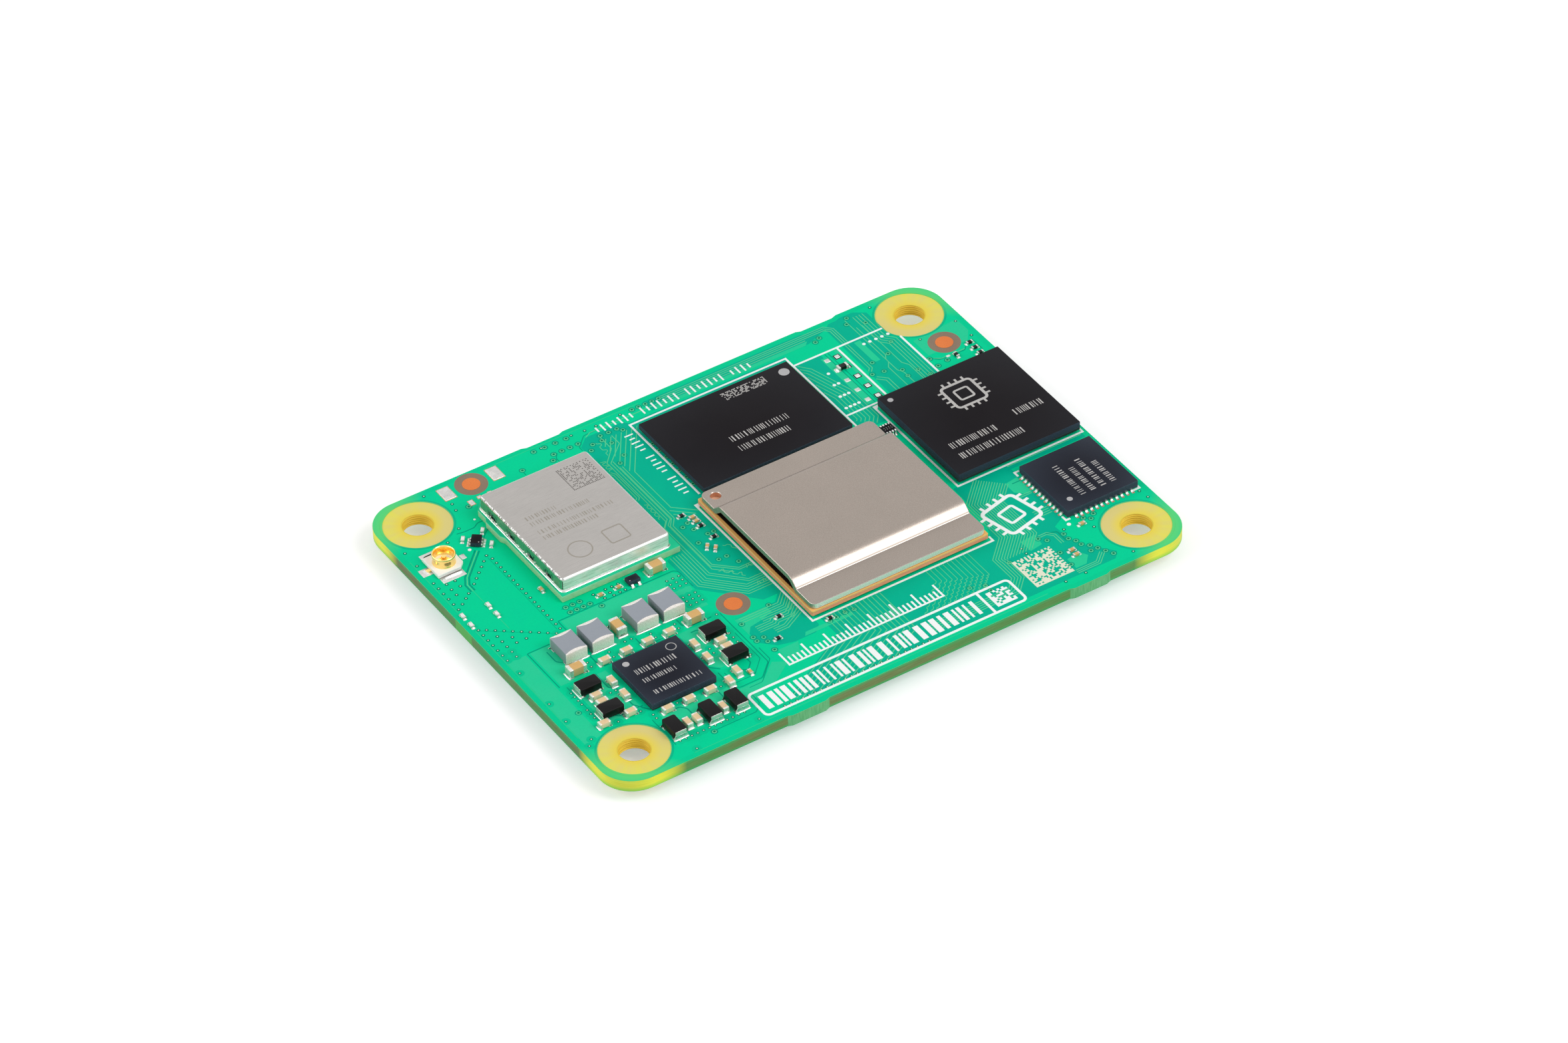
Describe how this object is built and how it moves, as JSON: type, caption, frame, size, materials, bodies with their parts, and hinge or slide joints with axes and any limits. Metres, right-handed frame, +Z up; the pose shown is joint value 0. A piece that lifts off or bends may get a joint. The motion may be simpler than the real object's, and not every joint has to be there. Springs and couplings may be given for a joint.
{
  "type": "system on module",
  "caption": "Green compute module board with a lidded processor, black ball-grid chips, a shielded radio, power parts, a coaxial socket and mezzanine plugs underneath.",
  "frame": {"origin": "under the centre of the board, level with the plugs' mating faces, on which it rests", "axes": "+Z up through the component side, X along the 55 mm side, Y along the 40 mm side, the antenna socket and radio at -X"},
  "size_m": [0.055, 0.0402, 0.0042],
  "materials": {
    "green_laminate": "green solder mask over glass laminate",
    "brown_laminate": "brown package laminate",
    "black_package": "black moulding compound",
    "slate_package": "slate black moulding compound",
    "nickel_sheet": "satin nickel plate",
    "steel_sheet": "bright tin-plated steel sheet",
    "silicon": "polished silicon",
    "grey_ferrite": "grey magnetic composite with tinned ends",
    "black_ferrite": "black magnetic composite with tinned ends",
    "tan_ceramic": "tan ceramic with tinned ends",
    "pale_ceramic": "pale tan ceramic with tinned ends",
    "white_plastic": "white heat-proof plastic",
    "dark_plastic": "black heat-proof plastic with gold contacts",
    "gold_plate": "gold plate"
  },
  "bodies": {
    "root": {"circuit_board": "green_laminate", "connector_front": "dark_plastic", "connector_back": "dark_plastic", "processor_substrate": "brown_laminate", "processor_die": "silicon", "processor_lid": "nickel_sheet", "memory_chip": "black_package", "io_chip": "black_package", "ethernet_chip": "slate_package", "wireless_board": "green_laminate", "wireless_shield": "steel_sheet", "wireless_chip": "black_package", "wireless_crystal": "steel_sheet", "power_chip": "slate_package", "large_inductor_1": "grey_ferrite", "large_inductor_2": "grey_ferrite", "large_inductor_3": "grey_ferrite", "large_inductor_4": "grey_ferrite", "power_inductor_1": "black_ferrite", "power_inductor_2": "black_ferrite", "power_inductor_3": "black_ferrite", "power_inductor_4": "black_ferrite", "power_inductor_5": "black_ferrite", "power_inductor_6": "black_ferrite", "power_inductor_7": "black_ferrite", "large_capacitor_1": "tan_ceramic", "large_capacitor_2": "tan_ceramic", "large_capacitor_3": "tan_ceramic", "large_capacitor_4": "tan_ceramic", "small_capacitor_01": "pale_ceramic", "small_capacitor_02": "pale_ceramic", "small_capacitor_03": "pale_ceramic", "small_capacitor_04": "pale_ceramic", "small_capacitor_05": "pale_ceramic", "small_capacitor_06": "pale_ceramic", "small_capacitor_07": "pale_ceramic", "small_capacitor_08": "pale_ceramic", "small_capacitor_09": "pale_ceramic", "small_capacitor_10": "pale_ceramic", "small_capacitor_11": "pale_ceramic", "small_capacitor_12": "pale_ceramic", "small_capacitor_13": "pale_ceramic", "small_capacitor_14": "pale_ceramic", "small_capacitor_15": "pale_ceramic", "small_capacitor_16": "pale_ceramic", "small_capacitor_17": "pale_ceramic", "small_capacitor_18": "pale_ceramic", "small_capacitor_19": "pale_ceramic", "small_capacitor_20": "pale_ceramic", "small_capacitor_21": "pale_ceramic", "small_capacitor_22": "pale_ceramic", "antenna_socket_base": "white_plastic", "antenna_socket_shell": "gold_plate", "antenna_socket_pin": "gold_plate", "antenna_switch": "slate_package", "supply_switch": "slate_package", "resistor_array": "slate_package", "option_resistor": "black_ferrite"}
  },
  "joints": []
}
